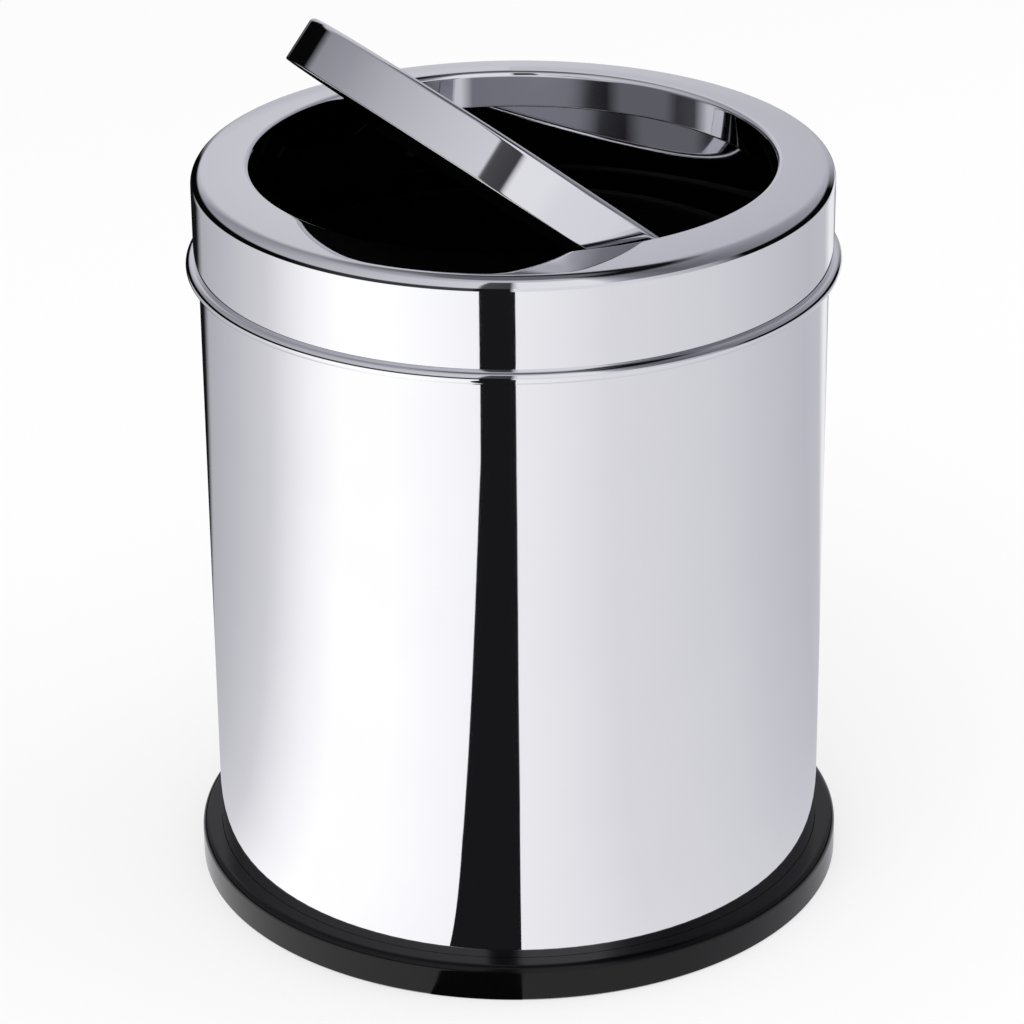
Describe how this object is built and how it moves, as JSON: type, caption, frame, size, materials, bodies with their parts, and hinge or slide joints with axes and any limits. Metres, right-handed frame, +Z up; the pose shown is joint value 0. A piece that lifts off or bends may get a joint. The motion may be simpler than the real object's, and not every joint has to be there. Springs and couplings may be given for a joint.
{
  "type": "swing-lid bin",
  "caption": "Round polished steel bin with a black base ring, a lift-off collar that carries a balanced tilting lid, and a lift-out inner bucket.",
  "frame": {"origin": "centre of the base ring's foot, on the floor", "axes": "+Z up; the lid turns about an axis along Y, -X is the side that stands raised, and -Y is the front"},
  "size_m": [0.21, 0.21, 0.2885],
  "materials": {
    "polished_steel": "bright annealed stainless steel, mirror polished",
    "zinc_steel": "zinc-plated mild steel",
    "screw_steel": "plain stainless fasteners",
    "wire_steel": "steel wire, black coated",
    "black_plastic": "moulded black polypropylene, glossy",
    "white_nylon": "natural nylon"
  },
  "bodies": {
    "bin_body": {"body_shell": "polished_steel", "floor_pan": "zinc_steel", "base_ring": "black_plastic"},
    "collar": {"collar_shell": "polished_steel", "pivot_bush_front": "white_nylon", "pivot_bush_rear": "white_nylon"},
    "lid": {"lid_pan": "polished_steel", "lid_liner": "black_plastic", "lid_weight": "zinc_steel", "weight_screws": "zinc_steel", "pivot_screw_front": "screw_steel", "pivot_screw_rear": "screw_steel", "plain_washer_front": "screw_steel", "plain_washer_rear": "screw_steel", "pivot_nut_front": "screw_steel", "pivot_nut_rear": "screw_steel", "spring_washer_front": "screw_steel", "spring_washer_rear": "screw_steel"},
    "bucket": {"inner_bucket": "black_plastic"},
    "bail": {"bucket_bail": "wire_steel"}
  },
  "joints": [
    {"name": "collar_lift", "type": "slide", "parent": "bin_body", "child": "collar", "axis": [0, 0, 1], "range_m": [0, 0.6]},
    {"name": "lid_swing", "type": "hinge", "parent": "collar", "child": "lid", "pos_m": [0, 0, 0.2326], "axis": [0, 1, 0], "range_deg": [-129, 51]},
    {"name": "bucket_lift", "type": "slide", "parent": "bin_body", "child": "bucket", "axis": [0, 0, 1], "range_m": [0, 0.3]},
    {"name": "bail_swing", "type": "hinge", "parent": "bucket", "child": "bail", "pos_m": [0, 0, 0.1922], "axis": [-1, 0, 0], "range_deg": [0, 113.4]}
  ],
  "couplings": [
    {"joint": "bucket_lift", "follows": "collar_lift", "ratio": 0.5},
    {"joint": "bail_swing", "follows": "collar_lift", "rad_per_m": 3.2984}
  ]
}
